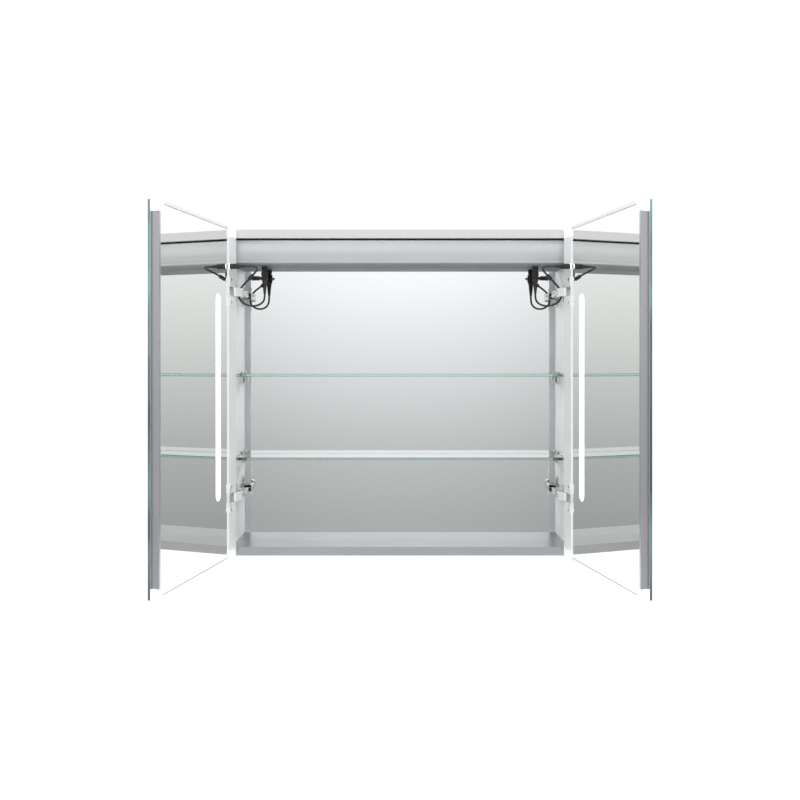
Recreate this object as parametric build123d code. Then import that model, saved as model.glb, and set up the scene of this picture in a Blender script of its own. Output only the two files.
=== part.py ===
from build123d import *
import math
import os

# Two-door illuminated mirror cabinet for a bathroom wall, doors standing open on their stops.
# Millimetres, +X right, +Y towards the wall, +Z up. The origin is midway between the two wall
# screws, on the wall's surface. The helpers below take lengths that suit a cabinet instead:
# x from the middle, d back from the front of the casing and h up from its bottom edge.

WIDTH, HEIGHT, DEPTH = 760.0, 700.0, 105.0
SCREW_LEVEL = 575.0  # height of the wall screws, which is Z = 0

# casing: hollow aluminium extrusion, mitred
WALL = 19.0
SKIN = 1.8
MIRROR_SET = 86.0  # front of the casing to the back mirror
GLASS = 4.0
BACK_SHEET = 2.0
GROOVE_DEPTH = 5.0

# canopy that covers the electrics under the top panel
CANOPY_LOW, CANOPY_HIGH = 624.0, 677.5
CANOPY_SKIN = 1.8
CAP = 2.0

CANOPY_SCREWS = (30.0, 68.0)
CANOPY_SCREW_LEVEL = 650.0
CANOPY_SCREW_HOLE = 1.6

# shelves
PIN_HOLE = 2.5
SHELF_THICK = 6.0
SHELF_TOPS = {"upper": 390.0, "lower": 210.0}
SHELF_CLEAR = 1.8
SUPPORT_BACK = (20.0, 66.0)
SUPPORT_WIDE, SUPPORT_DROP, SUPPORT_REACH = 11.0, 18.0, 12.0

# doors
DOOR_WIDTH, DOOR_MARGIN = 378.5, 1.5
DOOR_LOW, DOOR_HIGH = DOOR_MARGIN, HEIGHT - DOOR_MARGIN
DOOR_GAP = 4.0  # casing to the closed door's inner face
FRAME_THICK = 16.5
OUTER_GLASS = 5.0
STILE = 42.0
RAIL = 6.0
MIRROR_RECESS = 2.3
CORNER = 20.0
CHANNEL_DEPTH = 3.0
CHANNEL = (4.4, 15.0)
OPEN_ANGLE = 100.3
PIVOT_IN, PIVOT_DEEP = 12.0, 17.0  # mean centre of the door's swing, from its hinge edge and face

# light strip in each inner mirror
LIGHT_MIDDLE, LIGHT_WIDE = 97.0, 25.0
LIGHT_LOW, LIGHT_HIGH, LIGHT_ROUND = 133.7, 553.3, 11.0
DIODES, DIODE_STEP = 20, 20.0

# concealed hinges
HINGE_LEVELS = (130.0, 564.0)
ARM_X, ARM_D = -338.5, 0.0  # the arm's pin
LINK_IN, LINK_OUT = 15.0, -2.0  # far end of the link on the open door
LINK_HALF = 2.8
LINK_TALL = 8.85
PLATE_SCREW_BACK, PLATE_SCREW_RISE, PLATE_SCREW_HOLE = 37.0, 16.0, 2.05
CUP_SCREW_IN, CUP_SCREW_RISE, CUP_SCREW_HOLE = 36.5, 24.0, 1.95
PIN = 1.5
PLAY = 0.05
CUP_IN, CUP_OUT, CUP_DEEP, CUP_TALL, CUP_WALL = 6.0, 41.0, 14.3, 9.6, 0.8

# leads between the canopy and the doors
LEAD = 4.2
PLUG_IN, PLUG_LEVEL = 40.0, 615.0
CONNECTOR_TOP, CONNECTOR_WAIST, CONNECTOR_END = 613.0, 594.0, 565.0
CONNECTOR = (-297.5, 51.0)
CONNECTOR_RADIUS, GLAND_RADIUS, GLAND_NECK = 7.5, 6.4, 4.5

# wall rail
RAIL_STEEL = 2.0
SCREW_SPACING, SCREW_HOLE = 500.0, 3.25
INLET_X, INLET_LEVEL = -200.0, 650.0
INLET_HOLE, INLET_BORE = 10.0, 4.5

HALF = WIDTH / 2
INNER = HALF - WALL


def point(x, d, h):
    return Vector(x, d - DEPTH, h - SCREW_LEVEL)


def block(x, d, h):
    """A box between two x, two d and two h."""
    size = (x[1] - x[0], d[1] - d[0], h[1] - h[0])
    return Pos(*point(x[0], d[0], h[0])) * Box(*size, align=(Align.MIN,) * 3)


def prism(corners, along):
    """A flat outline of three or more points, pushed along a vector."""
    return extrude(make_face(Polyline(*corners, close=True)), amount=along.length, dir=along.normalized())


def front(corners, d):
    """An outline of x and h, from one depth to another."""
    return prism([point(x, d[0], h) for x, h in corners], Vector(0, d[1] - d[0], 0))


def rod(start, end, radius):
    """A round bar between two points."""
    axis = end - start
    return Plane(origin=start, z_dir=axis) * Cylinder(
        radius, axis.length, align=(Align.CENTER, Align.CENTER, Align.MIN)
    )


def cone(start, end, radius, end_radius):
    axis = end - start
    return Plane(origin=start, z_dir=axis) * Cone(
        radius, end_radius, axis.length, align=(Align.CENTER, Align.CENTER, Align.MIN)
    )


def ring(outer, inner, d):
    """A rectangular ring round the casing, between two insets from its outline."""
    whole = block((-HALF + outer, HALF - outer), d, (outer, HEIGHT - outer))
    hole = block(
        (-HALF + inner, HALF - inner), (d[0] - 1, d[1] + 1), (inner, HEIGHT - inner)
    )
    return whole - hole


def other_side(shape):
    return mirror(shape, about=Plane.YZ)


# The door is drawn shut, by a from its hinge edge, b in from its inner face and h.
def door_block(a, b, h):
    return block((-HALF + a[0], -HALF + a[1]), (-DOOR_GAP - b[1], -DOOR_GAP - b[0]), h)


def door_point(a, b, h):
    return point(-HALF + a, -DOOR_GAP - b, h)


PIVOT = Axis(door_point(PIVOT_IN, PIVOT_DEEP, SCREW_LEVEL), (0, 0, 1))


def opened(shape):
    return shape.rotate(PIVOT, -OPEN_ANGLE)


def opened_point(a, b, h):
    """Where a point of the shut door stands when the door is open."""
    centre = PIVOT.position
    turn = math.radians(-OPEN_ANGLE)
    arm = door_point(a, b, h) - Vector(centre.X, centre.Y, 0)
    return Vector(
        centre.X + arm.X * math.cos(turn) - arm.Y * math.sin(turn),
        centre.Y + arm.X * math.sin(turn) + arm.Y * math.cos(turn),
        arm.Z,
    )


def door_ring(inset, b, hinge_inset):
    """A ring round the door, as wide as inset on three sides and hinge_inset on the fourth."""
    whole = door_block((0, DOOR_WIDTH), b, (DOOR_LOW, DOOR_HIGH))
    hole = door_block(
        (hinge_inset, DOOR_WIDTH - inset),
        (b[0] - 1, b[1] + 1),
        (DOOR_LOW + inset, DOOR_HIGH - inset),
    )
    return whole - hole


def write(name, *shapes):
    solids = [s for shape in shapes for s in shape.solids()]
    export_step(Compound(children=solids), f"parts/{name}.step")


def write_pair(name, *shapes):
    """One node that holds the pieces of the left side and their mirror images."""
    write(name, *shapes, *(other_side(s) for s in shapes))


def write_both(name, *shapes):
    """One node for the left side, and its mirror image for the right."""
    write(f"{name}_left", *shapes)
    write(f"{name}_right", *(other_side(s) for s in shapes))


# --- casing ---


def side_holes():
    """Holes in the left panel's inner skin for shelf pins, hinge screws and canopy screws."""
    x = (-INNER - SKIN - 1, -INNER + 1)
    holes = []
    for top in SHELF_TOPS.values():
        level = top - SHELF_THICK - SUPPORT_DROP / 2
        holes += [(d, level, PIN_HOLE) for d in SUPPORT_BACK]
    for level in HINGE_LEVELS:
        holes += [(PLATE_SCREW_BACK, level + s * PLATE_SCREW_RISE, PLATE_SCREW_HOLE) for s in (-1, 1)]
    holes += [(d, CANOPY_SCREW_LEVEL, CANOPY_SCREW_HOLE) for d in CANOPY_SCREWS]
    return [rod(point(x[0], d, h), point(x[1], d, h), r) for d, h, r in holes]


def casing():
    back = MIRROR_SET + GLASS + BACK_SHEET
    body = ring(0, WALL, (0, DEPTH))
    body -= ring(WALL - GROOVE_DEPTH, WALL + 1, (MIRROR_SET, back))
    for d in ((SKIN, MIRROR_SET - SKIN), (back + SKIN, DEPTH - SKIN)):
        body -= ring(SKIN, WALL - SKIN, d)
    reach = WALL + 6
    low, high = 0, HEIGHT
    side = [(-HALF, low), (-HALF, high)]
    side += [(-HALF + reach, high - reach), (-HALF + reach, low + reach)]
    top = [(-HALF, high), (HALF, high), (HALF - reach, high - reach), (-HALF + reach, high - reach)]
    left = body & front(side, (0, DEPTH))
    for hole in side_holes():
        left -= hole
    write("side_panel_left", left)
    write("side_panel_right", other_side(left))
    write("top_panel", body & front(top, (0, DEPTH)))
    write("bottom_panel", body & front([(x, HEIGHT - h) for x, h in top], (0, DEPTH)))


def corner_cleats():
    """Pressed-in angles that pull the mitres together, inside the extrusions."""
    near, far, leg = SKIN + 0.2, WALL - SKIN - 0.2, 45.0
    outline = [
        (near, near),
        (leg, near),
        (leg, far),
        (far, far),
        (far, leg),
        (near, leg),
    ]
    cleats = []
    for flip_h in (False, True):
        corners = [(-HALF + x, HEIGHT - h if flip_h else h) for x, h in outline]
        cleat = front(corners, (22.0, 62.0))
        cleats += [cleat, other_side(cleat)]
    write("corner_cleats", *cleats)


def back_panel():
    inset = WALL - GROOVE_DEPTH + 0.5
    x, h = (-HALF + inset, HALF - inset), (inset, HEIGHT - inset)
    back = MIRROR_SET + GLASS
    hole = rod(
        point(INLET_X, MIRROR_SET - 1, INLET_LEVEL),
        point(INLET_X, back + BACK_SHEET + 1, INLET_LEVEL),
        INLET_HOLE,
    )
    write("back_mirror", block(x, (MIRROR_SET, back), h) - hole)
    write("back_sheet", block(x, (back, back + BACK_SHEET), h) - hole)
    lip, proud = 13.0, 2.0
    start, end = MIRROR_SET - proud, back + BACK_SHEET + proud
    grommet = Part()
    for near, far, radius in (
        (start, MIRROR_SET, lip),
        (start, end, INLET_HOLE - PLAY),
        (end - proud, end, lip),
    ):
        grommet += rod(point(INLET_X, near, INLET_LEVEL), point(INLET_X, far, INLET_LEVEL), radius)
    bore = rod(point(INLET_X, start - 1, INLET_LEVEL), point(INLET_X, end + 1, INLET_LEVEL), INLET_BORE)
    write("inlet_grommet", grommet - bore)


def rails():
    """The hook on the cabinet's back and the rail that it hangs on."""
    t, back = RAIL_STEEL, MIRROR_SET + GLASS + BACK_SHEET
    hook_x, rail_x = (-300.0, 300.0), (-290.0, 290.0)
    top = SCREW_LEVEL + 45
    hook = block(hook_x, (back, back + t), (top - 40, top))
    hook += block(hook_x, (back, DEPTH - t), (top - t, top))
    hook += block(hook_x, (DEPTH - 2 * t, DEPTH - t), (top - 16, top))
    write("hanging_hook", hook)
    tongue = (DEPTH - 7.0, DEPTH - 7.0 + t)
    shelf = SCREW_LEVEL + 23
    rail = block(rail_x, (DEPTH - t, DEPTH), (SCREW_LEVEL - 15, shelf + t))
    rail += block(rail_x, (tongue[0], DEPTH), (shelf, shelf + t))
    rail += block(rail_x, tongue, (shelf, top - t))
    for x in (-SCREW_SPACING / 2, SCREW_SPACING / 2):
        rail -= rod(point(x, DEPTH - t - 1, SCREW_LEVEL), point(x, DEPTH + 1, SCREW_LEVEL), SCREW_HOLE)
    write("wall_rail", rail)
    pads = []
    for x in (-250.0, 250.0):
        pads.append(rod(point(x, back, 60), point(x, DEPTH, 60), 9.0))
    write("wall_spacers", *pads)


# --- canopy and what it covers ---


def canopy_outline(inset):
    """The canopy's section from its back edge under, round the front and back over the top."""
    low, high = CANOPY_LOW + inset, CANOPY_HIGH - inset
    back, shift = MIRROR_SET - 0.3, inset * 0.98
    ends = [(back, low), (17.0, low), (7.5 + shift, 633.0), (12.0 + shift, high), (back, high)]
    turns = [(10.0 + shift * 0.7, 626.5 + shift * 0.7), (4.5 + shift, 652.0)]
    at = [point(0, d, h) for d, h in ends]
    through = [point(0, d, h) for d, h in turns]
    return [
        Line(at[0], at[1]),
        ThreePointArc(at[1], through[0], at[2]),
        ThreePointArc(at[2], through[1], at[3]),
        Line(at[3], at[4]),
    ]


def canopy_prism(inset, x):
    edges = canopy_outline(inset)
    closing = Line(edges[-1] @ 1, edges[0] @ 0)
    face = make_face(edges + [closing])
    return Pos(x[0], 0, 0) * extrude(face, amount=x[1] - x[0], dir=(1, 0, 0))


def canopy():
    end = INNER - 0.2
    x = (-end + CAP, end - CAP)
    cover = canopy_prism(0, x)
    hollow = canopy_prism(CANOPY_SKIN, (x[0] - 1, x[1] + 1))
    cover -= hollow
    open_back = (CANOPY_LOW + CANOPY_SKIN, CANOPY_HIGH - CANOPY_SKIN)
    cover -= block((x[0] - 1, x[1] + 1), (MIRROR_SET - 0.4, MIRROR_SET), open_back)
    for side in (-1, 1):
        ends = [point(side * CONNECTOR[0], CONNECTOR[1], CANOPY_LOW + rise) for rise in (-1, 4)]
        cover -= rod(*ends, GLAND_NECK + PLAY)
    write("canopy_cover", cover)
    cap = canopy_prism(0, (-end, -end + CAP))
    screws = []
    for d in CANOPY_SCREWS:
        h = CANOPY_SCREW_LEVEL
        cap -= rod(point(-end - 1, d, h), point(-end + CAP + 1, d, h), CANOPY_SCREW_HOLE)
        screw = rod(point(-end - 6, d, h), point(-end + CAP, d, h), CANOPY_SCREW_HOLE - PLAY)
        screws.append(screw + rod(point(-end + CAP, d, h), point(-end + CAP + 2, d, h), 3.0))
    write_pair("canopy_caps", cap)
    write_pair("canopy_screws", *screws)


def electrics():
    floor = CANOPY_LOW + CANOPY_SKIN
    driver = block((-60, 95), (32, 74), (floor, floor + 28))
    driver = fillet(driver.edges().filter_by(Axis.Z), 3)
    for x in (-68, 95):
        driver += block((x, x + 8), (46, 60), (floor, floor + 3))
    write("led_driver", driver)
    terminals = block((-170, -122), (48, 66), (floor, floor + 6))
    terminals += block((-170, -122), (51, 63), (floor + 6, floor + 17))
    for n in range(3):
        x = -162 + 16 * n
        terminals -= rod(point(x, 57, floor + 9), point(x, 57, floor + 18), 2.4)
    write("terminal_block", terminals)


# --- shelves ---


def shelves():
    clips = []
    for name, top in SHELF_TOPS.items():
        bottom = top - SHELF_THICK
        glass = block((-INNER + SHELF_CLEAR, INNER - SHELF_CLEAR), (3.0, 84.5), (bottom, top))
        glass = fillet(glass.edges().filter_by(Axis.X), 0.8)
        write(f"shelf_{name}", glass)
        for d in SUPPORT_BACK:
            near = (d - SUPPORT_WIDE / 2, d + SUPPORT_WIDE / 2)
            body = block((-INNER, -INNER + SUPPORT_REACH), near, (bottom - SUPPORT_DROP, bottom))
            underside = body.edges().filter_by(Axis.Y).sort_by(Axis.Z)[0:2]
            body = fillet(underside.sort_by(Axis.X)[-1:], 8.0)
            body += block((-INNER, -INNER + SHELF_CLEAR - 0.2), near, (bottom - 1, top + 3.5))
            body += block((-INNER, -INNER + 7), near, (top, top + 3.5))
            level = bottom - SUPPORT_DROP / 2
            body += rod(point(-INNER - 5, d, level), point(-INNER + 1, d, level), PIN_HOLE - PLAY)
            clips.append(body)
    write_pair("shelf_supports", *clips)


# --- hinges ---

PLATE = 3.0
BOSS = 9.0
ARM_HALF = 2.6
ARM_TALL = 5.0
ARM_BACK = (24.0, 66.0)
ARM_REAR_TALL = 7.5
ARM_SCREWS = (36.0, 50.0)
ARM_FACE = ARM_X + ARM_HALF


def hinge_plate(level):
    """The cross-shaped plate screwed to the side panel."""
    d = PLATE_SCREW_BACK
    wing = block((-INNER, -INNER + PLATE), (d - 7, d + 7), (level - 24, level + 24))
    wing = fillet(wing.edges().filter_by(Axis.X), 5)
    plate = wing + block((-INNER, -INNER + PLATE), (26, 62), (level - 8, level + 8))
    plate += block((-INNER, -INNER + BOSS), (28, 60), (level - 5.5, level + 5.5))
    for rise in (-PLATE_SCREW_RISE, PLATE_SCREW_RISE):
        ends = [point(-INNER + x, d, level + rise) for x in (-1, 9)]
        plate -= rod(*ends, PLATE_SCREW_HOLE)
    for back in ARM_SCREWS:
        ends = [point(-INNER + x, back, level) for x in (2, BOSS + 1)]
        plate -= rod(*ends, PLATE_SCREW_HOLE)
    return plate


def hinge_arm(level):
    """The channel clipped over the plate, with a neck that carries the link's pin."""
    neck_tall = (level - ARM_TALL, level + ARM_TALL)
    neck = block((ARM_X - ARM_HALF, ARM_FACE), (ARM_D, ARM_BACK[0] + 1), neck_tall)
    low, high = point(ARM_X, ARM_D, level - ARM_TALL), point(ARM_X, ARM_D, level + ARM_TALL)
    neck += rod(low, high, ARM_HALF)
    rear_x = (-INNER + PLATE + 1.5, ARM_FACE)
    tall = (level - ARM_REAR_TALL, level + ARM_REAR_TALL)
    rear = block(rear_x, ARM_BACK, tall)
    rear = fillet(rear.edges().filter_by(Axis.Y).sort_by(Axis.X)[-2:], 2.0)
    inside = (level - ARM_REAR_TALL + 1.6, level + ARM_REAR_TALL - 1.6)
    rear -= block((rear_x[0] - 1, ARM_FACE - 1.6), (ARM_BACK[0] + 2, ARM_BACK[1] + 1), inside)
    arm = neck + rear
    for back in ARM_SCREWS:
        ends = [point(ARM_FACE + x, back, level) for x in (-3, 1)]
        arm -= rod(*ends, PLATE_SCREW_HOLE)
    pin = rod(
        point(ARM_X, ARM_D, level - LINK_TALL - 1), point(ARM_X, ARM_D, level + LINK_TALL + 1), PIN
    )
    return arm - pin


def hinge_link(level):
    """The bar between the arm's pin and the cup, forked round the arm's tip."""
    tip = point(ARM_X, ARM_D, level - LINK_TALL)
    end = opened_point(LINK_IN, LINK_OUT, level - LINK_TALL)
    along = (end - tip).normalized()
    across = Vector(-along.Y, along.X, 0) * LINK_HALF
    rise = Vector(0, 0, 2 * LINK_TALL)
    bar = prism([tip + across, end + across, end - across, tip - across], rise)
    bar += rod(tip, tip + rise, LINK_HALF) + rod(end, end + rise, LINK_HALF)
    gap = ARM_TALL + 0.3
    base = point(ARM_X, ARM_D, level - gap)
    bar -= rod(base, base + Vector(0, 0, 2 * gap), ARM_HALF + 3.4)
    return bar - rod(tip - rise * 0.1, tip + rise * 1.1, PIN + PLAY)


def hinge_pin(level):
    half = LINK_TALL + 0.6
    return rod(point(ARM_X, ARM_D, level - half), point(ARM_X, ARM_D, level + half), PIN)


def cross_screw(start, inward, head, shank, length, head_high=1.8):
    """A pan-head screw whose head stands out against inward at start."""
    inward = inward.normalized()
    screw = rod(start - inward * head_high, start, head) + rod(start, start + inward * length, shank)
    slot = Plane(origin=start - inward * head_high, z_dir=inward) * (
        Box(head * 1.2, head * 0.3, 1.6) + Box(head * 0.3, head * 1.2, 1.6)
    )
    return screw - slot


def cup(level):
    """The pocket let into the stile, with its two screwed wings."""
    b0, b1 = 0.0, FRAME_THICK - 1.6
    tall = CUP_TALL + CUP_WALL
    across = (CUP_IN - CUP_WALL, CUP_OUT + CUP_WALL)
    shell = door_block(across, (b0 - 0.6, b1), (level - tall, level + tall))
    for side in (-1, 1):
        ends = sorted((level + side * CUP_TALL, level + side * 30.0))
        wing = door_block((31.0, STILE - 0.2), (-1.5, 0), ends)
        corners = wing.edges().filter_by(Axis.Y).group_by(Axis.Z)[-1 if side > 0 else 0]
        shell += fillet(corners, 4)
    shell -= door_block((CUP_IN, CUP_OUT), (-2, CUP_DEEP), (level - CUP_TALL, level + CUP_TALL))
    for side in (-1, 1):
        h = level + side * CUP_SCREW_RISE
        ends = [door_point(CUP_SCREW_IN, b, h) for b in (-3, 3)]
        shell -= rod(*ends, CUP_SCREW_HOLE)
    return shell


def hinges():
    write_pair("hinge_plates", *(hinge_plate(h) for h in HINGE_LEVELS))
    write_pair("hinge_arms", *(hinge_arm(h) for h in HINGE_LEVELS))
    write_pair("hinge_pins", *(hinge_pin(h) for h in HINGE_LEVELS))
    write_both("hinge_links", *(hinge_link(h) for h in HINGE_LEVELS))
    write_both("hinge_cups", *(opened(cup(h)) for h in HINGE_LEVELS))
    inward = Vector(-1, 0, 0)
    fixed, swinging = [], []
    for level in HINGE_LEVELS:
        for rise in (-PLATE_SCREW_RISE, PLATE_SCREW_RISE):
            start = point(-INNER + PLATE, PLATE_SCREW_BACK, level + rise)
            fixed.append(cross_screw(start, inward, 4.0, 2.0, 9.0))
        for back in ARM_SCREWS:
            fixed.append(cross_screw(point(ARM_FACE, back, level), inward, 3.4, 2.0, 17.0, 1.4))
        for side in (-CUP_SCREW_RISE, CUP_SCREW_RISE):
            start = door_point(CUP_SCREW_IN, -1.5, level + side)
            swinging.append(opened(cross_screw(start, Vector(0, -1, 0), 3.6, 1.9, 9.0)))
    write_pair("hinge_screws", *fixed)
    write_both("cup_screws", *swinging)


# --- doors ---


def door_frame():
    """The whole frame in one piece, before it is cut at its corners."""
    frame = door_ring(12, (0, FRAME_THICK), STILE)
    frame -= door_ring(12.1, (-1, MIRROR_RECESS + GLASS), STILE) - door_ring(
        RAIL, (-2, MIRROR_RECESS + GLASS + 1), STILE
    )
    cavity = (MIRROR_RECESS + GLASS + 1.5, CHANNEL[1])
    frame -= door_ring(12.1, cavity, STILE) - door_ring(RAIL, (cavity[0] - 1, cavity[1] + 1), STILE)
    frame -= door_channel()
    hollow = (DOOR_LOW + RAIL, DOOR_HIGH - RAIL)
    frame -= door_block((CHANNEL_DEPTH + 1.5, STILE - 1.5), (1.5, CHANNEL[1]), hollow)
    return frame


def door_channel():
    """The groove that runs round the door's edges."""
    whole = door_block((-1, DOOR_WIDTH + 1), CHANNEL, (DOOR_LOW - 1, DOOR_HIGH + 1))
    core = door_block(
        (CHANNEL_DEPTH, DOOR_WIDTH - CHANNEL_DEPTH),
        (CHANNEL[0] - 1, CHANNEL[1] + 1),
        (DOOR_LOW + CHANNEL_DEPTH, DOOR_HIGH - CHANNEL_DEPTH),
    )
    return whole - core


def stadium(a, b, h, radius):
    """An upright strip of the door with rounded corners."""
    strip = door_block(a, b, h)
    return fillet(strip.edges().filter_by(Axis.Y), radius)


def doors():
    frame = door_frame()
    everywhere = (-5, FRAME_THICK + 5)
    ends = ((DOOR_LOW, DOOR_LOW + CORNER), (DOOR_HIGH - CORNER, DOOR_HIGH))
    middle = (DOOR_LOW + CORNER, DOOR_HIGH - CORNER)
    blocks = []
    for h in ends:
        blocks.append(frame & door_block((0, STILE), everywhere, h))
        blocks.append(frame & door_block((DOOR_WIDTH - CORNER, DOOR_WIDTH), everywhere, h))
    write_both("door_corners", *(opened(b) for b in blocks))
    stile = frame & door_block((0, STILE), everywhere, middle)
    for level in HINGE_LEVELS:
        tall = (level - CUP_TALL - 0.9, level + CUP_TALL + 0.9)
        stile -= door_block((CUP_IN - 0.9, STILE + 1), (-1, CHANNEL[1]), tall)
        for side in (-CUP_SCREW_RISE, CUP_SCREW_RISE):
            pilot = [door_point(CUP_SCREW_IN, b, level + side) for b in (-1, 9)]
            stile -= rod(*pilot, CUP_SCREW_HOLE)
    wire_hole = [door_point(PLUG_IN - 6, b, PLUG_LEVEL) for b in (-1, 3)]
    stile -= rod(*wire_hole, 3.0)
    write_both("hinge_stile", opened(stile))
    write_both(
        "free_stile",
        opened(frame & door_block((DOOR_WIDTH - CORNER, DOOR_WIDTH), everywhere, middle)),
    )
    rails = [frame & door_block((STILE, DOOR_WIDTH - CORNER), everywhere, h) for h in ends]
    write_both("door_rails", *(opened(r) for r in rails))

    outer = door_block(
        (0, DOOR_WIDTH), (FRAME_THICK, FRAME_THICK + OUTER_GLASS), (DOOR_LOW, DOOR_HIGH)
    )
    write_both("outer_mirror", opened(outer))

    mirror_b = (MIRROR_RECESS, MIRROR_RECESS + GLASS)
    light_a = (LIGHT_MIDDLE - LIGHT_WIDE / 2, LIGHT_MIDDLE + LIGHT_WIDE / 2)
    light_h = (LIGHT_LOW, LIGHT_HIGH)
    inner = door_block(
        (STILE + 0.1, DOOR_WIDTH - RAIL - 0.1),
        mirror_b,
        (DOOR_LOW + RAIL + 0.1, DOOR_HIGH - RAIL - 0.1),
    )
    inner -= stadium(light_a, (mirror_b[0] - 1, mirror_b[1] + 1), light_h, LIGHT_ROUND)
    write_both("inner_mirror", opened(inner))
    shade = stadium(
        (light_a[0] + PLAY, light_a[1] - PLAY),
        mirror_b,
        (LIGHT_LOW + PLAY, LIGHT_HIGH - PLAY),
        LIGHT_ROUND - 0.1,
    )
    write_both("light_diffuser", opened(shade))
    board_b = (FRAME_THICK - 3.2, FRAME_THICK - 1.6)
    board = door_block(
        (LIGHT_MIDDLE - 6, LIGHT_MIDDLE + 6), board_b, (LIGHT_LOW + 10, LIGHT_HIGH - 10)
    )
    diode_b = (FRAME_THICK - 4.0, FRAME_THICK - 3.2)
    for n in range(DIODES):
        h = LIGHT_LOW + (n + 1) * DIODE_STEP
        board += door_block((LIGHT_MIDDLE - 2.5, LIGHT_MIDDLE + 2.5), diode_b, (h - 2.5, h + 2.5))
    carrier = door_block(
        (LIGHT_MIDDLE - 22, LIGHT_MIDDLE + 22),
        (FRAME_THICK - 1.6, FRAME_THICK),
        (LIGHT_LOW - 15, LIGHT_HIGH + 15),
    )
    write_both("led_strip", opened(board), opened(carrier))

    pads = []
    for h, up in ((DOOR_LOW + 0.5, 1), (DOOR_HIGH - 0.5, -1)):
        centre = door_point(DOOR_WIDTH - 0.5, -3.8, h)
        disc = rod(centre, centre + Vector(0, -3.8, 0), 12.0)
        quarter = sorted((h, h + up * 13))
        pads.append(disc & door_block((DOOR_WIDTH - 13, DOOR_WIDTH - 0.5), (-4, 1), quarter))
    write_both("door_bumpers", *(opened(p) for p in pads))


# --- leads ---


def bends(route):
    """For each corner, an arc as large as the two runs that meet there allow."""
    radii = []
    for before, here, after in zip(route, route[1:], route[2:]):
        one, two = here - before, after - here
        turn = math.radians(one.get_angle(two))
        radii.append(0.45 * min(one.length, two.length) / math.tan(turn / 2))
    return radii


def tube(route, radius):
    radii = bends(route)
    path = FilletPolyline(*route, radius=radii)
    section = Plane(origin=path @ 0, z_dir=path % 0) * Circle(radius)
    solid = sweep(section, path=path)
    share = solid.volume / (math.pi * radius**2 * path.length)
    print("lead", round(path.length, 1), "long, volume ratio", round(share, 4))
    print("  radii", [round(r, 1) for r in radii])
    return solid


# The route is x, d and h on the left side, from the door plug to the connector.
DOOR_LEAD_ROUTE = [
    (-304.7, -56.2, 614.8),
    (-299.9, -50.2, 614.0),
    (-298.8, -41.8, 612.3),
    (-301.5, -32.5, 609.5),
    (-306.5, -22.5, 605.5),
    (-314.0, -13.5, 599.8),
    (-323.5, -4.8, 592.0),
    (-334.0, 2.0, 583.0),
    (-343.0, 6.0, 573.5),
    (-347.5, 8.0, 562.5),
    (-346.5, 10.5, 551.5),
    (-340.0, 14.5, 543.0),
    (-330.0, 20.0, 538.0),
    (-318.5, 27.5, 536.5),
    (-308.0, 36.0, 539.5),
    (-300.5, 45.0, 546.0),
    (-297.5, 51.0, 555.0),
    (-297.5, 51.0, 565.0),
]
PLUG, BOOT = 19.6, 14.0
SLEEVE_AFTER = 5  # the sleeve sits on the run that follows this point of the door lead
LEAD_START = 8.3


def leads():
    at_door = opened_point(PLUG_IN, 0, PLUG_LEVEL)
    out = (opened_point(PLUG_IN, -1, PLUG_LEVEL) - at_door).normalized()
    socket = 2.4
    face = at_door + out * socket
    write_both("door_sockets", rod(at_door, face, 6.6))
    neck = face + out * PLUG
    body = rod(face, face + out * 9, 5.6) + cone(face + out * 9, neck, 5.6, 5.0)
    for n in range(5):
        ridge = face + out * (10.5 + n * 1.8)
        body += rod(ridge, ridge + out * 0.8, 5.7)
    body += cone(neck, neck + out * BOOT, 4.0, LEAD / 2 + 0.5)
    write_both("door_plugs", body)
    start = neck + out * BOOT

    route = [start, start + out * LEAD_START] + [point(*p) for p in DOOR_LEAD_ROUTE]
    write_both("door_lead", tube(route, LEAD / 2))

    sleeve_at = [point(*p) for p in DOOR_LEAD_ROUTE[SLEEVE_AFTER : SLEEVE_AFTER + 2]]
    middle = (sleeve_at[0] + sleeve_at[1]) * 0.5
    way = (sleeve_at[1] - sleeve_at[0]).normalized()
    sleeve = rod(middle - way * 8, middle + way * 8, 4.3)
    write_both("lead_sleeve", sleeve - rod(middle - way * 9, middle + way * 9, LEAD / 2 + 0.6))

    x, d = CONNECTOR
    widest, tail = CONNECTOR_RADIUS, CONNECTOR_END + 12
    collar = rod(point(x, d, CONNECTOR_WAIST), point(x, d, CONNECTOR_TOP), widest)
    collar += cone(point(x, d, CONNECTOR_WAIST), point(x, d, tail), widest - 1.7, 4.9)
    collar += cone(point(x, d, tail), point(x, d, CONNECTOR_END), 4.9, 2.9)
    for n in range(4):
        h = CONNECTOR_WAIST + 3 + n * 4
        band = rod(point(x, d, h), point(x, d, h + 1.6), widest + 1)
        collar -= band - rod(point(x, d, h - 1), point(x, d, h + 3), widest - 0.4)
    write_pair("lead_connectors", collar)
    gland = rod(point(x, d, CONNECTOR_TOP), point(x, d, CANOPY_LOW), GLAND_RADIUS)
    gland += rod(point(x, d, CANOPY_LOW - 1), point(x, d, CANOPY_LOW + CANOPY_SKIN), GLAND_NECK)
    write_pair("lead_glands", gland)


def main():
    os.makedirs("parts", exist_ok=True)
    casing()
    corner_cleats()
    back_panel()
    rails()
    canopy()
    electrics()
    shelves()
    hinges()
    doors()
    leads()


main()
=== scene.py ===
import math

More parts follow.
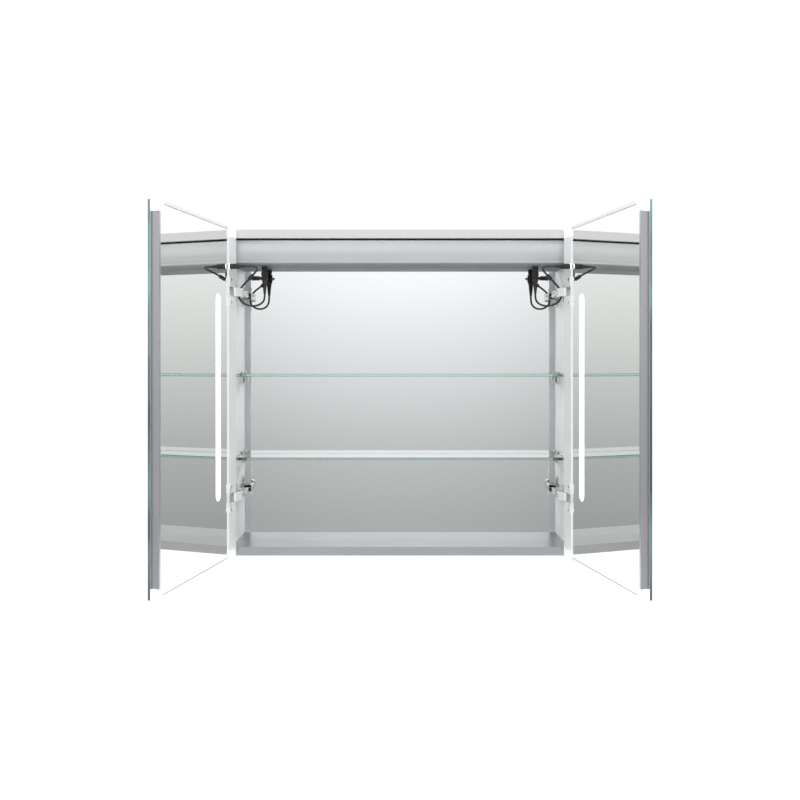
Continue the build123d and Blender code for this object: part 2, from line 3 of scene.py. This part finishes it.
import bmesh
import bpy
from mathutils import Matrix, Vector


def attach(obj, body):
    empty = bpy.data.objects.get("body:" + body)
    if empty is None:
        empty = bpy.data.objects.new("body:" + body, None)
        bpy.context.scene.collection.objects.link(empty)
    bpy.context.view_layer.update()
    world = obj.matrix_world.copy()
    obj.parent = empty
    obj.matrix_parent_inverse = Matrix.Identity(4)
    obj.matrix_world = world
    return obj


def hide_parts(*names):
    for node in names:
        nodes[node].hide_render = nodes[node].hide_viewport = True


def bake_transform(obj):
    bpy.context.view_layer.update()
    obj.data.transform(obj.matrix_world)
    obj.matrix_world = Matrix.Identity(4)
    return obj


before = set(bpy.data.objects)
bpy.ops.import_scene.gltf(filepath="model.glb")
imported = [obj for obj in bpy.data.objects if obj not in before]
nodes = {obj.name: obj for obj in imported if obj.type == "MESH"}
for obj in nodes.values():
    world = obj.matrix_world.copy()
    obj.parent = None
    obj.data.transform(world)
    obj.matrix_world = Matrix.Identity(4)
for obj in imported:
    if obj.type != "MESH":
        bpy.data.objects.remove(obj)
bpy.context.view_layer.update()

# The cabinet's own measures, in millimetres: x from the middle, d back from the casing's front,
# h up from its bottom edge. spot() turns them into metres in the row frame.
DEPTH, SCREW_LEVEL, HALF = 105.0, 575.0, 380.0
DOOR_WIDTH, DOOR_GAP, FRAME_THICK, OUTER_GLASS = 378.5, 4.0, 16.5, 5.0
DOOR_LOW, DOOR_HIGH = 1.5, 698.5
MIRROR_RECESS = 2.3
LIGHT_MIDDLE, LIGHT_WIDE, LIGHT_LOW, LIGHT_HIGH = 97.0, 25.0, 133.7, 553.3
PIVOT = Vector((-368.0, -126.0))
OPEN = math.radians(100.3)
SIDES = {"left": 1.0, "right": -1.0}  # the left side is drawn, and the right is its mirror image


def spot(x, d, h, flip=1.0):
    return Vector((x * flip, d - DEPTH, h - SCREW_LEVEL)) / 1000


def door_spot(a, b, h, flip=1.0):
    """A point of the open door: a from its hinge edge, b in from its inner face, h up."""
    x = -HALF + a - PIVOT.x
    y = -DOOR_GAP - b - DEPTH - PIVOT.y
    c, s = math.cos(-OPEN), math.sin(-OPEN)
    return Vector(((PIVOT.x + x * c - y * s) * flip, PIVOT.y + x * s + y * c, h - SCREW_LEVEL)) / 1000


# --- camera ---

camera = bpy.data.objects.new("camera", bpy.data.cameras.new("camera"))
bpy.context.scene.collection.objects.link(camera)
camera.location = (0, -2.099, -0.1583)
camera.rotation_euler = (math.radians(90), 0, 0)
camera.data.sensor_width = 36
camera.data.lens = 41.85
camera.data.shift_y = -0.0483
camera.data.clip_start = 0.05
bpy.context.scene.camera = camera


# --- materials ---


def shader(name):
    mat = bpy.data.materials.new(name)
    mat.use_nodes = True
    tree = mat.node_tree
    return mat, tree, tree.nodes["Principled BSDF"]


def noise(tree, scale, stretch=(1, 1, 1), detail=3.0):
    where = tree.nodes.new("ShaderNodeTexCoord")
    turn = tree.nodes.new("ShaderNodeMapping")
    turn.inputs["Scale"].default_value = stretch
    cloud = tree.nodes.new("ShaderNodeTexNoise")
    cloud.inputs["Scale"].default_value = scale
    cloud.inputs["Detail"].default_value = detail
    tree.links.new(where.outputs["Object"], turn.inputs["Vector"])
    tree.links.new(turn.outputs["Vector"], cloud.inputs["Vector"])
    return cloud.outputs["Fac"]


def span(tree, value, low, high, start=0.3, end=0.7):
    change = tree.nodes.new("ShaderNodeMapRange")
    change.inputs["From Min"].default_value = start
    change.inputs["From Max"].default_value = end
    change.inputs["To Min"].default_value = low
    change.inputs["To Max"].default_value = high
    tree.links.new(value, change.inputs["Value"])
    return change.outputs["Result"]


def blend_colours(tree, amount, one, two):
    mix = tree.nodes.new("ShaderNodeMix")
    mix.data_type = "RGBA"
    for socket, colour in ((mix.inputs[6], one), (mix.inputs[7], two)):
        if hasattr(colour, "is_output"):
            tree.links.new(colour, socket)
        else:
            socket.default_value = (*colour, 1)
    tree.links.new(amount, mix.inputs[0])
    return mix.outputs[2]


def finish_of(
    name, light, dark, rough, metallic=0.0, scale=900, stretch=(1, 1, 1), bump=0.15,
    relief=0.00008, stain=None, stain_scale=14, **sockets
):
    """A surface with fine grain in its colour, gloss and relief, and broad faint staining."""
    mat, tree, bsdf = shader(name)
    grain = noise(tree, scale, stretch, 4.0)
    patch = noise(tree, stain_scale, (1, 1, 1), 3.0)
    fine = blend_colours(tree, span(tree, grain, 0, 1), dark, light)
    stain = stain or tuple(0.93 * c for c in light)
    colour = blend_colours(tree, span(tree, patch, 0, 0.45, 0.45, 0.75), fine, stain)
    tree.links.new(colour, bsdf.inputs["Base Color"])
    mixed = tree.nodes.new("ShaderNodeMath")
    mixed.operation = "ADD"
    tree.links.new(span(tree, grain, rough[0], rough[1]), mixed.inputs[0])
    tree.links.new(span(tree, patch, 0, 0.05, 0.45, 0.75), mixed.inputs[1])
    tree.links.new(mixed.outputs[0], bsdf.inputs["Roughness"])
    relief_node = tree.nodes.new("ShaderNodeBump")
    relief_node.inputs["Strength"].default_value = bump
    relief_node.inputs["Distance"].default_value = relief
    tree.links.new(grain, relief_node.inputs["Height"])
    tree.links.new(relief_node.outputs["Normal"], bsdf.inputs["Normal"])
    bsdf.inputs["Metallic"].default_value = metallic
    for socket, value in sockets.items():
        bsdf.inputs[socket.replace("_", " ")].default_value = value
    return mat


def silvered(name, tint):
    """Silvered glass: a clear reflection with wipe marks that only the gloss shows."""
    mat, tree, bsdf = shader(name)
    wipes = noise(tree, 9, (1, 0.4, 1.6), 5.0)
    dust = noise(tree, 260, (1, 1, 1), 2.0)
    soft = tuple(0.985 * c for c in tint)
    tree.links.new(
        blend_colours(tree, span(tree, dust, 0, 1, 0.62, 0.8), tint, soft), bsdf.inputs["Base Color"]
    )
    tree.links.new(span(tree, wipes, 0.004, 0.03, 0.45, 0.8), bsdf.inputs["Roughness"])
    bsdf.inputs["Metallic"].default_value = 1.0
    return mat


def clear_glass(name):
    mat, tree, bsdf = shader(name)
    smear = noise(tree, 12, (0.3, 1, 1), 4.0)
    tree.links.new(
        blend_colours(tree, span(tree, smear, 0, 1), (0.93, 0.985, 0.97), (0.90, 0.975, 0.955)),
        bsdf.inputs["Base Color"],
    )
    tree.links.new(span(tree, smear, 0.0, 0.03, 0.5, 0.8), bsdf.inputs["Roughness"])
    bsdf.inputs["Transmission Weight"].default_value = 1.0
    bsdf.inputs["IOR"].default_value = 1.5
    body = tree.nodes.new("ShaderNodeVolumeAbsorption")
    body.inputs["Color"].default_value = (0.45, 0.88, 0.78, 1)
    body.inputs["Density"].default_value = 1.6
    tree.links.new(body.outputs[0], tree.nodes["Material Output"].inputs["Volume"])
    return mat


def glowing(name, colour, strength):
    """An opal shade, lit from behind, with a faint cloudiness in its plastic."""
    mat, tree, bsdf = shader(name)
    cloud = noise(tree, 500, (1, 1, 1), 2.0)
    dim = tuple(0.96 * c for c in colour)
    shade = blend_colours(tree, span(tree, cloud, 0, 1), dim, colour)
    tree.links.new(shade, bsdf.inputs["Base Color"])
    tree.links.new(shade, bsdf.inputs["Emission Color"])
    tree.links.new(span(tree, cloud, 0.32, 0.42), bsdf.inputs["Roughness"])
    bsdf.inputs["Emission Strength"].default_value = strength
    return mat


UPRIGHT, LEVEL = (1, 1, 0.03), (0.03, 1, 1)


def anodised(name, tint, rough, stretch, metallic=1.0):
    """Satin anodised aluminium, with the fine lines that its extrusion die leaves along it."""
    dark = tuple(0.985 * c for c in tint)
    pale = tuple(0.99 * c for c in tint)
    return finish_of(name, tint, dark, rough, metallic, 2400, stretch, 0.04, 0.00002, pale, 6)


def shaded_below(mat, low, specular):
    """Paints the faces that look down in a darker colour, in place of the shade they would have."""
    tree = mat.node_tree
    bsdf = tree.nodes["Principled BSDF"]
    plain = bsdf.inputs["Base Color"].links[0].from_socket
    facing = tree.nodes.new("ShaderNodeNewGeometry")
    parts = tree.nodes.new("ShaderNodeSeparateXYZ")
    tree.links.new(facing.outputs["True Normal"], parts.inputs[0])
    amount = span(tree, parts.outputs["Z"], 1.0, 0.0, -0.5, -0.25)
    tree.links.new(blend_colours(tree, amount, plain, low), bsdf.inputs["Base Color"])
    bsdf.inputs["Specular IOR Level"].default_value = specular
    return mat


M = {
    "upright": anodised("anodised_upright", (0.95, 0.955, 0.96), (0.42, 0.48), UPRIGHT, 0.3),
    "stile": anodised("anodised_stile", (0.91, 0.92, 0.93), (0.50, 0.56), UPRIGHT, 0.85),
    # the free stile is the hinge stile's aluminium in a far darker tint: painted shade
    "edge_stile": anodised("anodised_free_stile_painted_shade", (0.52, 0.525, 0.54), (0.28, 0.34), UPRIGHT),
    "level": anodised("anodised_level", (0.84, 0.85, 0.86), (0.34, 0.40), LEVEL),
    # the bottom panel is the top panel's aluminium in a far darker tint: painted shade
    "floor": anodised("anodised_bottom_painted_shade", (0.48, 0.49, 0.502), (0.28, 0.34), LEVEL),
    "canopy": shaded_below(
        anodised("anodised_canopy", (0.72, 0.73, 0.75), (0.46, 0.52), LEVEL), (0.24, 0.245, 0.25), 0.3
    ),
    "cast": finish_of(
        "cast_aluminium", (0.60, 0.61, 0.62), (0.48, 0.49, 0.50), (0.45, 0.6), 1.0, 700, bump=0.4
    ),
    "mirror": silvered("silvered_glass", (0.93, 0.95, 0.95)),
    "door_mirror": silvered("silvered_door_glass", (0.925, 0.94, 0.905)),
    "paint": finish_of("mirror_backing", (0.62, 0.64, 0.65), (0.56, 0.58, 0.59), (0.45, 0.6), 0.0, 800),
    "edge": finish_of(
        "polished_glass_edge", (0.035, 0.055, 0.055), (0.02, 0.036, 0.036),
        (0.05, 0.12), 0.0, 90, (1, 1, 0.2),
        bump=0.05, stain=(0.20, 0.36, 0.36), stain_scale=6, Coat_Weight=1.0,
    ),
    "sheet": finish_of("back_sheet_paint", (0.50, 0.51, 0.52), (0.45, 0.46, 0.47), (0.4, 0.5), 0.2, 600),
    "rubber": finish_of(
        "moulded_rubber", (0.035, 0.035, 0.037), (0.018, 0.018, 0.02), (0.5, 0.65), 0.0, 1600
    ),
    "zinc": finish_of(
        "zinc_plate", (0.70, 0.72, 0.74), (0.55, 0.57, 0.60), (0.3, 0.45), 1.0, 160, bump=0.1,
        stain=(0.62, 0.63, 0.60),
    ),
    "white": finish_of("white_plastic", (0.88, 0.88, 0.87), (0.84, 0.84, 0.83), (0.4, 0.5), 0.0, 1300),
    "glass": clear_glass("shelf_glass"),
    "corner": finish_of(
        "corner_casting", (0.90, 0.91, 0.92), (0.85, 0.86, 0.87), (0.45, 0.55), 0.4, 1500, bump=0.2
    ),
    "nickel": finish_of("nickel_plate", (0.80, 0.79, 0.77), (0.72, 0.71, 0.69), (0.16, 0.26), 1.0, 500),
    "bright": finish_of("bright_nickel", (0.95, 0.95, 0.94), (0.88, 0.88, 0.87), (0.30, 0.40), 0.85, 900),
    "lead": finish_of(
        "lead_jacket", (0.012, 0.012, 0.013), (0.007, 0.007, 0.008), (0.40, 0.52), 0.0, 2600, bump=0.25
    ),
    "plug": finish_of(
        "black_nylon", (0.012, 0.012, 0.013), (0.007, 0.007, 0.008), (0.44, 0.56), 0.0, 2000, bump=0.3
    ),
    "pad": finish_of(
        "pale_bumper", (0.74, 0.76, 0.76), (0.68, 0.70, 0.70), (0.35, 0.45), 0.0, 1500, bump=0.1
    ),
    "gland": finish_of(
        "black_gland", (0.016, 0.016, 0.017), (0.010, 0.010, 0.011), (0.44, 0.56), 0.0, 1500, bump=0.2
    ),
    "shade": glowing("opal_shade", (0.98, 0.99, 1.0), 1.1),
    "frost": finish_of("etched_band", (0.86, 0.89, 0.88), (0.78, 0.81, 0.80), (0.45, 0.6), 0.3, 1200),
    "board": finish_of("solder_mask", (0.90, 0.90, 0.88), (0.84, 0.84, 0.82), (0.35, 0.45), 0.0, 900),
}


def dress(kind, *names):
    for name in names:
        mesh = nodes[name].data
        mesh.materials.clear()
        mesh.materials.append(M[kind])


def both(*names):
    return [f"{n}_{side}" for n in names for side in SIDES]


dress("upright", *both("side_panel"))
dress("stile", *both("hinge_stile"))
dress("edge_stile", *both("free_stile"))
dress("level", "top_panel", *both("door_rails"))
dress("floor", "bottom_panel")
dress("canopy", "canopy_cover", "canopy_caps")
dress("cast", "corner_cleats")
dress("corner", *both("door_corners"))
dress("mirror", "back_mirror")
dress("door_mirror", *both("inner_mirror", "outer_mirror"))
dress("sheet", "back_sheet")
dress("rubber", "inlet_grommet", "wall_spacers", *both("lead_sleeve"))
dress("zinc", "hanging_hook", "wall_rail", "canopy_screws")
dress("white", "led_driver", "terminal_block")
dress("glass", "shelf_upper", "shelf_lower")
dress("bright", "shelf_supports")
dress("nickel", "hinge_plates", "hinge_arms", "hinge_pins", "hinge_screws")
dress("bright", *both("hinge_cups"))
dress("nickel", *both("cup_screws"))
dress("bright", *both("hinge_links"))
dress("lead", *both("door_lead"))
dress("plug", "lead_connectors", *both("door_plugs"))
dress("gland", "lead_glands")
dress("pad", *both("door_bumpers", "door_sockets"))
dress("shade", *both("light_diffuser"))
dress("board", *both("led_strip"))


def soften(width, *names):
    """Rounds the sharp edges of a carried-over part a little, as its finishing leaves them."""
    for name in names:
        weld = nodes[name].modifiers.new("weld", "WELD")
        weld.merge_threshold = 1e-6
        round_off = nodes[name].modifiers.new("arris", "BEVEL")
        round_off.width = width
        round_off.segments = 2
        round_off.limit_method = "ANGLE"
        round_off.angle_limit = math.radians(40)
        round_off.harden_normals = True


soften(0.0004, *both("side_panel"), "top_panel", "bottom_panel")


# --- cords ---


def spline_of(name, route):
    """A smooth curve with the route's points as its control points."""
    curve = bpy.data.curves.new(name, "CURVE")
    curve.dimensions = "3D"
    spline = curve.splines.new("NURBS")
    spline.points.add(len(route) - 1)
    for point, place in zip(spline.points, route):
        point.co = (*place, 1)
    spline.order_u = 3
    spline.use_endpoint_u = True
    curve.resolution_u = 10
    piece = bpy.data.objects.new(name, curve)
    bpy.context.scene.collection.objects.link(piece)
    return piece


def line_along(name, route):
    """Points read from the route's smooth curve."""
    guide = spline_of(name, route)
    mesh = bpy.data.meshes.new_from_object(guide)
    points = [v.co.copy() for v in mesh.vertices]
    bpy.data.meshes.remove(mesh)
    bpy.data.objects.remove(guide)
    return points


def piece_of(name, bm, kind, body=None, smooth=True):
    bmesh.ops.recalc_face_normals(bm, faces=bm.faces)
    mesh = bpy.data.meshes.new(name)
    bm.to_mesh(mesh)
    bm.free()
    for one in kind if isinstance(kind, (list, tuple)) else [kind]:
        mesh.materials.append(M[one])
    piece = bpy.data.objects.new(name, mesh)
    bpy.context.scene.collection.objects.link(piece)
    if smooth:
        mesh.shade_smooth()
        mesh.set_sharp_from_angle(angle=math.radians(35))
    if body:
        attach(piece, body)
    return piece


def skin(bm, rings, closed_ends=True):
    """Faces between neighbouring rings of the same number of vertices."""
    for one, two in zip(rings, rings[1:]):
        count = len(one)
        for n in range(count):
            bm.faces.new((one[n], one[(n + 1) % count], two[(n + 1) % count], two[n]))
    if closed_ends:
        bm.faces.new(rings[0])
        bm.faces.new(rings[-1])


def tube(bm, line, radius, around=20):
    """A round tube whose cross-sections turn as little as they can along the line."""
    side = (line[1] - line[0]).orthogonal().normalized()
    rings = []
    for n, here in enumerate(line):
        ahead = (line[min(n + 1, len(line) - 1)] - line[max(n - 1, 0)]).normalized()
        side = (side - ahead * side.dot(ahead)).normalized()
        up = ahead.cross(side)
        turns = [2 * math.pi * k / around for k in range(around)]
        rings.append([bm.verts.new(here + (side * math.cos(t) + up * math.sin(t)) * radius) for t in turns])
    skin(bm, rings)


def turned(bm, start, along, profile, around=48, flutes=24):
    """A turned part: profile holds how far along, the radius and the depth of its grip flutes."""
    along = along.normalized()
    side = along.orthogonal().normalized()
    up = along.cross(side)
    rings = []
    for way, radius, flute in profile:
        ring = []
        for k in range(around):
            t = 2 * math.pi * k / around
            r = radius - flute * (0.5 - 0.5 * math.cos(flutes * t))
            outward = side * math.cos(t) + up * math.sin(t)
            ring.append(bm.verts.new(start + along * way / 1000 + outward * r / 1000))
        rings.append(ring)
    skin(bm, rings)


LEAD = 4.2
CONNECTOR, CANOPY_LOW = (-297.5, 51.0), 624.0
PLUG_IN, PLUG_LEVEL, SOCKET, PLUG, BOOT, LEAD_START = 40.0, 615.0, 2.4, 19.6, 14.0, 8.3
SLEEVE_AFTER = 5
SLEEVE_REACH = 0.008  # metres of lead held on each side of the sleeve's middle
DOOR_LEAD_ROUTE = [
    (-304.7, -56.2, 614.8), (-299.9, -50.2, 614.0), (-298.8, -41.8, 612.3), (-301.5, -32.5, 609.5),
    (-306.5, -22.5, 605.5), (-314.0, -13.5, 599.8), (-323.5, -4.8, 592.0), (-334.0, 2.0, 583.0),
    (-343.0, 6.0, 573.5), (-347.5, 8.0, 562.5), (-346.5, 10.5, 551.5), (-340.0, 14.5, 543.0),
    (-330.0, 20.0, 538.0), (-318.5, 27.5, 536.5), (-308.0, 36.0, 539.5), (-300.5, 45.0, 546.0),
    (-297.5, 51.0, 555.0), (-297.5, 51.0, 565.0),
]


def plug_and_boot(side, flip):
    """The door's plug: a knurled nut, a body with finger grooves and a ribbed, tapering boot."""
    at_door = door_spot(PLUG_IN, 0, PLUG_LEVEL, flip)
    out = (door_spot(PLUG_IN, -1, PLUG_LEVEL, flip) - at_door).normalized()
    bm = bmesh.new()
    turned(bm, at_door, out, [(0, 6.0, 0), (0, 6.6, 0), (1.5, 6.6, 0), (2.1, 6.3, 0), (2.4, 5.0, 0)])
    socket = piece_of(f"door_socket_ring_{side}", bm, "pad", f"{side}_door")
    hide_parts(f"door_sockets_{side}")
    bm = bmesh.new()
    face = SOCKET
    profile = [(face, 4.6, 0), (face, 5.3, 0), (face + 0.5, 5.65, 0)]
    profile += [(face + 0.6, 5.65, 0.45), (face + 8.2, 5.65, 0.45), (face + 8.3, 5.65, 0)]
    profile += [(face + 8.8, 5.65, 0), (face + 9.2, 5.2, 0)]
    for n in range(5):
        ridge = face + 10.2 + n * 1.8
        profile += [(ridge, 5.0, 0), (ridge + 0.3, 5.6, 0), (ridge + 1.0, 5.6, 0), (ridge + 1.3, 5.0, 0)]
    neck = face + PLUG
    profile += [(neck - 0.4, 4.9, 0), (neck, 4.3, 0)]
    for n in range(5):
        rib = neck + 0.6 + n * 2.6
        swell = 3.9 - n * 0.26
        profile += [(rib, swell - 0.55, 0), (rib + 0.4, swell, 0)]
        profile += [(rib + 1.5, swell - 0.05, 0), (rib + 1.9, swell - 0.6, 0)]
    profile += [(neck + BOOT, 2.5, 0), (neck + BOOT, 2.2, 0)]
    turned(bm, at_door, out, profile)
    plug = piece_of(f"door_plug_{side}", bm, "plug", f"{side}_door")
    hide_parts(f"door_plugs_{side}")
    return at_door + out * (neck + BOOT) / 1000, out, plug


def connector(name, place, flip):
    """A cable coupler that hangs from the canopy: a fluted ring, a waist and a tapering tail."""
    top = spot(*place, CANOPY_LOW, flip)
    down = Vector((0, 0, -1))
    bm = bmesh.new()
    gland = [(-1, 4.3, 0), (0.2, 4.3, 0), (0.2, 6.1, 0), (0.6, 6.4, 0), (0.8, 6.4, 0.4), (6.6, 6.4, 0.4)]
    gland += [(6.8, 6.4, 0), (7.4, 6.4, 0), (7.6, 5.6, 0), (10.6, 5.6, 0), (11, 5.2, 0)]
    turned(bm, top, down, gland, flutes=16)
    holder = piece_of(f"{name}_gland", bm, "gland", "cabinet")
    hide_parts("lead_glands")
    bm = bmesh.new()
    ring = [(11, 6.2, 0), (11, 7.1, 0), (11.5, 7.5, 0), (12, 7.5, 0), (12.1, 7.5, 0.6), (18.0, 7.5, 0.6)]
    ring += [(18.1, 7.5, 0), (18.8, 7.5, 0), (19.1, 6.6, 0), (20.0, 6.6, 0), (20.4, 7.4, 0), (20.8, 7.4, 0)]
    ring += [(20.9, 7.4, 0.6), (27.8, 7.4, 0.6), (27.9, 7.4, 0), (29.2, 7.3, 0), (30, 6.4, 0), (31, 5.7, 0)]
    for n in range(7):
        rib = 33.2 + n * 3.6
        swell = 5.5 - n * 0.40
        ring += [(rib, swell - 0.5, 0), (rib + 0.5, swell, 0)]
        ring += [(rib + 2.0, swell - 0.1, 0), (rib + 2.5, swell - 0.6, 0)]
    ring += [(58.6, 2.5, 0), (59, 2.3, 0)]
    turned(bm, top, down, ring)
    piece = piece_of(name, bm, "plug", "cabinet")
    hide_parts("lead_connectors")
    return piece


def leads(side, flip):
    start, out, plug = plug_and_boot(side, flip)
    coupler = connector(f"lead_coupler_{side}", CONNECTOR, flip)

    route = [start, start + out * LEAD_START / 1000] + [spot(*p, flip) for p in DOOR_LEAD_ROUTE]
    line = line_along(f"door_lead_line_{side}", route)
    bm = bmesh.new()
    tube(bm, line, LEAD / 2000)
    lead = piece_of(f"door_lead_tube_{side}", bm, "lead")
    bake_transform(lead)
    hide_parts(f"door_lead_{side}")

    near = [spot(*p, flip) for p in DOOR_LEAD_ROUTE[SLEEVE_AFTER : SLEEVE_AFTER + 2]]
    centre = (near[0] + near[1]) / 2
    middle = min(range(len(line)), key=lambda n: (line[n] - centre).length)
    bm = bmesh.new()
    held = [p for p in line if (p - line[middle]).length < SLEEVE_REACH]
    first, last = held[0], held[-1]
    shape = [(0, 2.9, 0), (0, 3.7, 0), (0.6, 4.2, 0), (2, 4.2, 0)]
    long = (last - first).length * 1000
    for n in range(4):
        groove = long * (0.2 + 0.17 * n)
        shape += [(groove, 4.2, 0), (groove + 0.3, 3.8, 0), (groove + 1.0, 3.8, 0), (groove + 1.3, 4.2, 0)]
    shape += [(long - 0.6, 4.2, 0), (long, 3.7, 0), (long, 2.9, 0)]
    turned(bm, first, last - first, shape)
    sleeve = piece_of(f"lead_ferrite_{side}", bm, "plug")
    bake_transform(sleeve)
    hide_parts(f"lead_sleeve_{side}")


for side, flip in SIDES.items():
    leads(side, flip)


# --- doors ---


def door_slab(bm, a, b, h, flip, bevel):
    """A slab of the open door with rounded edges, and which of its faces look out, in or sideways."""
    corners = [(x, y, z) for x in a for y in b for z in h]
    verts = [bm.verts.new(c) for c in corners]
    for quad in ((0, 1, 3, 2), (4, 6, 7, 5), (0, 4, 5, 1), (2, 3, 7, 6), (0, 2, 6, 4), (1, 5, 7, 3)):
        bm.faces.new([verts[n] for n in quad])
    bmesh.ops.recalc_face_normals(bm, faces=bm.faces)
    bmesh.ops.bevel(bm, geom=bm.edges[:], offset=bevel, segments=3, profile=0.5, affect="EDGES")
    for face in bm.faces:
        normal = face.normal
        face.material_index = 0 if normal.y > 0.99 else 2 if normal.y < -0.99 else 1
    for vert in bm.verts:
        vert.co = door_spot(*vert.co, flip)


def doors(side, flip):
    body = f"{side}_door"
    bm = bmesh.new()
    door_slab(bm, (0, DOOR_WIDTH), (FRAME_THICK, FRAME_THICK + OUTER_GLASS), (DOOR_LOW, DOOR_HIGH), flip, 0.5)
    pane = piece_of(f"mirror_pane_{side}", bm, ["door_mirror", "edge", "paint"], body)
    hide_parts(f"outer_mirror_{side}")

    # the mirror's silvering is etched away in a narrow border round the light
    bm = bmesh.new()
    reach, steps = LIGHT_WIDE / 2 + 1.6, 14
    rings = []
    for wide, b in ((reach, -0.12), (reach - 1.7, -0.12)):
        ring = []
        for top in (0, 1):
            for n in range(steps + 1):
                turn = math.pi * (n / steps) + (0 if top else math.pi)
                mid = (LIGHT_HIGH - LIGHT_WIDE / 2) if top else (LIGHT_LOW + LIGHT_WIDE / 2)
                a = LIGHT_MIDDLE + math.cos(turn) * wide
                ring.append(bm.verts.new(door_spot(a, MIRROR_RECESS + b, mid + math.sin(turn) * wide, flip)))
        rings.append(ring)
    skin(bm, rings, closed_ends=False)
    border = piece_of(f"etched_border_{side}", bm, "frost", body)


for side, flip in SIDES.items():
    doors(side, flip)


# --- studio ---

FLOOR, FLOOR_RADIUS, FLOOR_BACK, FLOOR_SIDES = -1.3, 3.4, 0.6, 96
WORLD_STRENGTH = 1.12
# how bright the room is, from low to high, as places on the ramp
ROOM = [(0.0, 0.30), (0.336, 0.40), (0.478, 0.51), (0.636, 0.70), (0.79, 0.90), (1.0, 1.0)]


def studio():
    bm = bmesh.new()
    rim = []
    for n in range(FLOOR_SIDES):
        t = 2 * math.pi * n / FLOOR_SIDES
        rim.append(bm.verts.new((FLOOR_RADIUS * math.cos(t), FLOOR_BACK + FLOOR_RADIUS * math.sin(t), FLOOR)))
    bm.faces.new(rim)
    mesh = bpy.data.meshes.new("floor")
    bm.to_mesh(mesh)
    bm.free()
    floor = bpy.data.objects.new("floor", mesh)
    bpy.context.scene.collection.objects.link(floor)
    pale, paler = (0.94, 0.94, 0.94), (0.95, 0.95, 0.95)
    mesh.materials.append(finish_of("pale_floor", paler, pale, (0.6, 0.7), 0.0, 60))

    def light(name, place, aim, size, power):
        lamp = bpy.data.objects.new(name, bpy.data.lights.new(name, "AREA"))
        lamp.data.shape = "RECTANGLE"
        lamp.data.size, lamp.data.size_y = size
        lamp.data.energy = power
        lamp.location = place
        lamp.rotation_euler = (Vector(aim) - Vector(place)).to_track_quat("-Z", "Y").to_euler()
        bpy.context.scene.collection.objects.link(lamp)
        return lamp

    light("overhead", (0, 0.9, 2.6), (0, 0.9, 0), (3.2, 3.2), 70)
    fill = light("front_fill", (0, -1.3, 0.35), (0, 0, -0.2), (0.9, 0.5), 30)
    fill.visible_glossy = False
    fill.visible_transmission = False

    world = bpy.data.worlds.new("studio")
    bpy.context.scene.world = world
    world.use_nodes = True
    tree = world.node_tree
    where = tree.nodes.new("ShaderNodeTexCoord")
    part = tree.nodes.new("ShaderNodeSeparateXYZ")
    tree.links.new(where.outputs["Generated"], part.inputs[0])
    ramp = tree.nodes.new("ShaderNodeValToRGB")
    tree.links.new(span(tree, part.outputs["Z"], 0, 1, -0.35, 0.20), ramp.inputs["Fac"])
    stones = ramp.color_ramp.elements
    for n, (at, bright) in enumerate(ROOM):
        stone = stones[n] if n < 2 else stones.new(at)
        stone.position = at
        stone.color = (bright, bright * 1.005, bright * 1.01, 1)
    square = tree.nodes.new("ShaderNodeMath")
    square.operation = "MULTIPLY"
    tree.links.new(part.outputs["X"], square.inputs[0])
    tree.links.new(part.outputs["X"], square.inputs[1])
    falloff = span(tree, square.outputs[0], 1.0, 0.86, 0.0, 0.03)
    dimmed = tree.nodes.new("ShaderNodeVectorMath")
    dimmed.operation = "SCALE"
    tree.links.new(ramp.outputs["Color"], dimmed.inputs[0])
    tree.links.new(falloff, dimmed.inputs["Scale"])
    front = span(tree, part.outputs["Y"], 1.0, 0.0, -0.75, -0.25)
    shade = blend_colours(tree, front, (1.0, 1.0, 1.0), dimmed.outputs[0])
    back = tree.nodes["Background"]
    tree.links.new(shade, back.inputs["Color"])
    back.inputs["Strength"].default_value = WORLD_STRENGTH


studio()
bpy.context.scene.view_settings.view_transform = "Standard"
